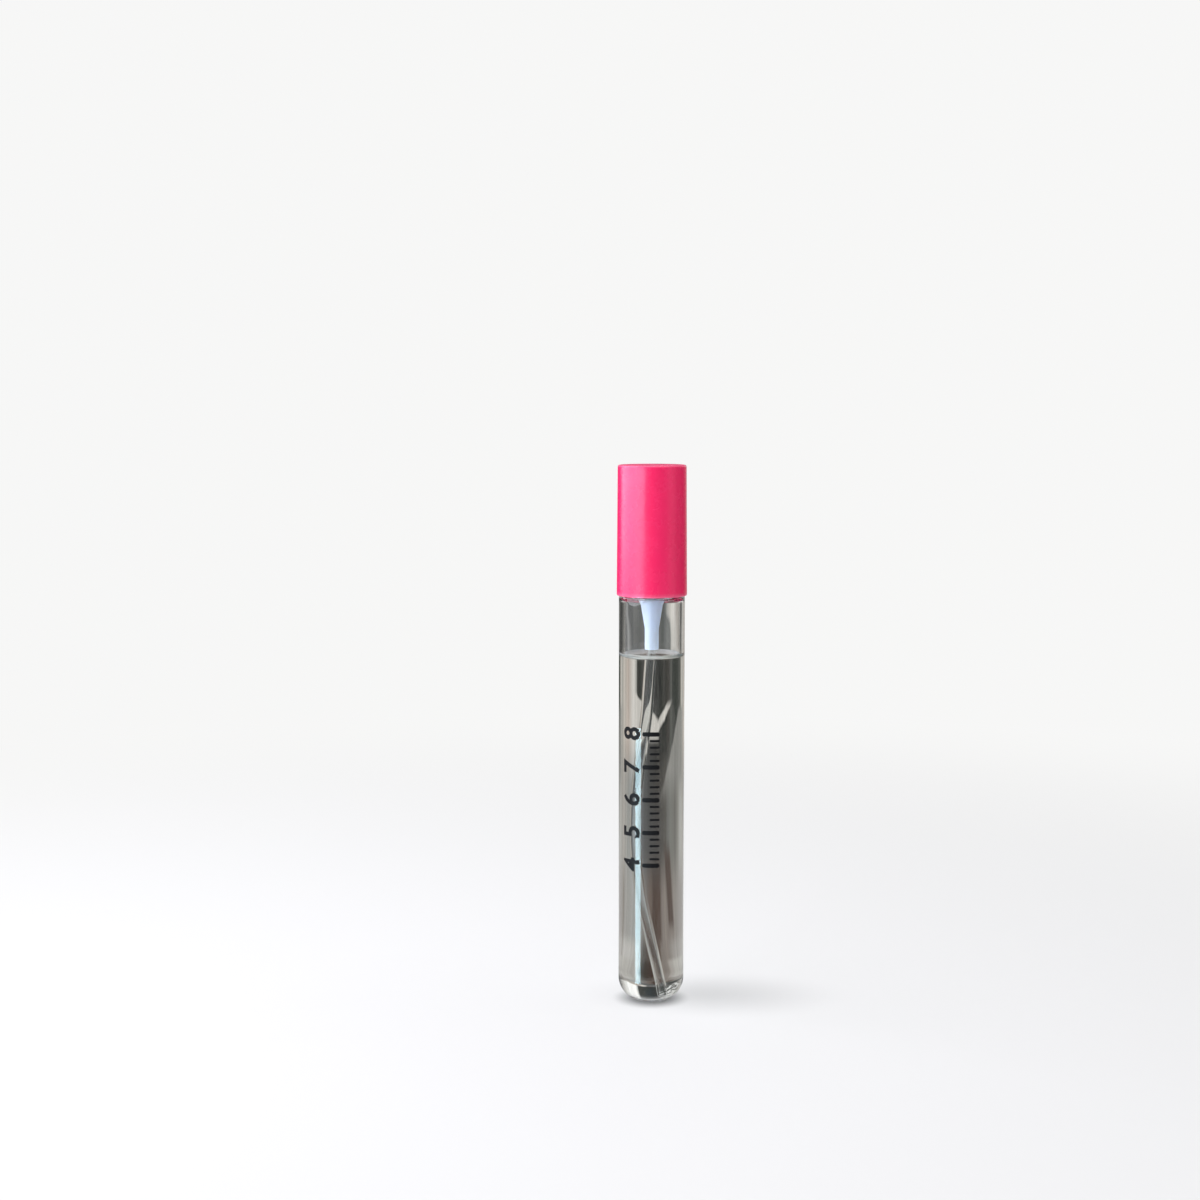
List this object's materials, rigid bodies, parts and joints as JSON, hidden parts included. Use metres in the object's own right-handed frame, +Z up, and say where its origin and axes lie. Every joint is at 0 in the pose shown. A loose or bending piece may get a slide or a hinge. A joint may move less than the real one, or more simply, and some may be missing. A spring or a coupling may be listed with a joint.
{
  "type": "miniature perfume bottle",
  "caption": "Slim glass vial with a screw-on fine mist pump, a curled dip tube, a liquid fill and a smooth pull-off overcap.",
  "frame": {"origin": "centre of the vial's flat base, on the surface it stands on", "axes": "+Z up along the vial to the top of the cap; -Y is the front, the way the spray nozzle points"},
  "size_m": [0.016, 0.016, 0.1235],
  "materials": {
    "glass": "clear polished soda glass",
    "liquid": "clear colourless liquid",
    "pink_plastic": "semi-gloss hot pink moulded plastic",
    "white_plastic": "semi-gloss white moulded plastic",
    "milky_plastic": "translucent bluish-white plastic",
    "tube_plastic": "clear extruded tube",
    "seal": "soft grey foam seal",
    "steel": "bright spring steel"
  },
  "bodies": {
    "vial": {"vial": "glass", "perfume": "liquid"},
    "pump": {"pump_housing": "milky_plastic", "neck_gasket": "seal", "turret": "white_plastic", "dip_tube": "tube_plastic", "return_spring": "steel"},
    "collar": {"collar": "white_plastic"},
    "cap": {"overcap": "pink_plastic"},
    "plunger": {"stem": "white_plastic", "piston": "milky_plastic", "piston_seat": "white_plastic"},
    "spray_head": {"actuator": "white_plastic", "nozzle_insert": "white_plastic"},
    "ball": {"check_ball": "steel"}
  },
  "joints": [
    {"name": "pump_lift", "type": "slide", "parent": "vial", "child": "pump", "axis": [0, 0, 1], "range_m": [0, 0.0041], "deforming": ["perfume"]},
    {"name": "collar_unscrew", "type": "hinge", "parent": "pump", "child": "collar", "pos_m": [0, 0, 0.0963], "axis": [0, 0, 1], "range_deg": [0, 720]},
    {"name": "cap_lift", "type": "slide", "parent": "collar", "child": "cap", "axis": [0, 0, 1], "range_m": [0, 0.035]},
    {"name": "press", "type": "slide", "parent": "pump", "child": "plunger", "axis": [0, 0, -1], "range_m": [0, 0.0032], "stiffness_N_per_m": 800, "springref_m": -0.005, "deforming": ["return_spring"]},
    {"name": "head_swivel", "type": "hinge", "parent": "plunger", "child": "spray_head", "pos_m": [0, 0, 0.1112], "axis": [0, 0, 1], "continuous": true},
    {"name": "ball_lift", "type": "slide", "parent": "pump", "child": "ball", "axis": [0, 0, 1], "range_m": [0, 0.0005]}
  ],
  "couplings": [
    {"joint": "pump_lift", "follows": "collar_unscrew", "m_per_rad": 0.00031831}
  ]
}
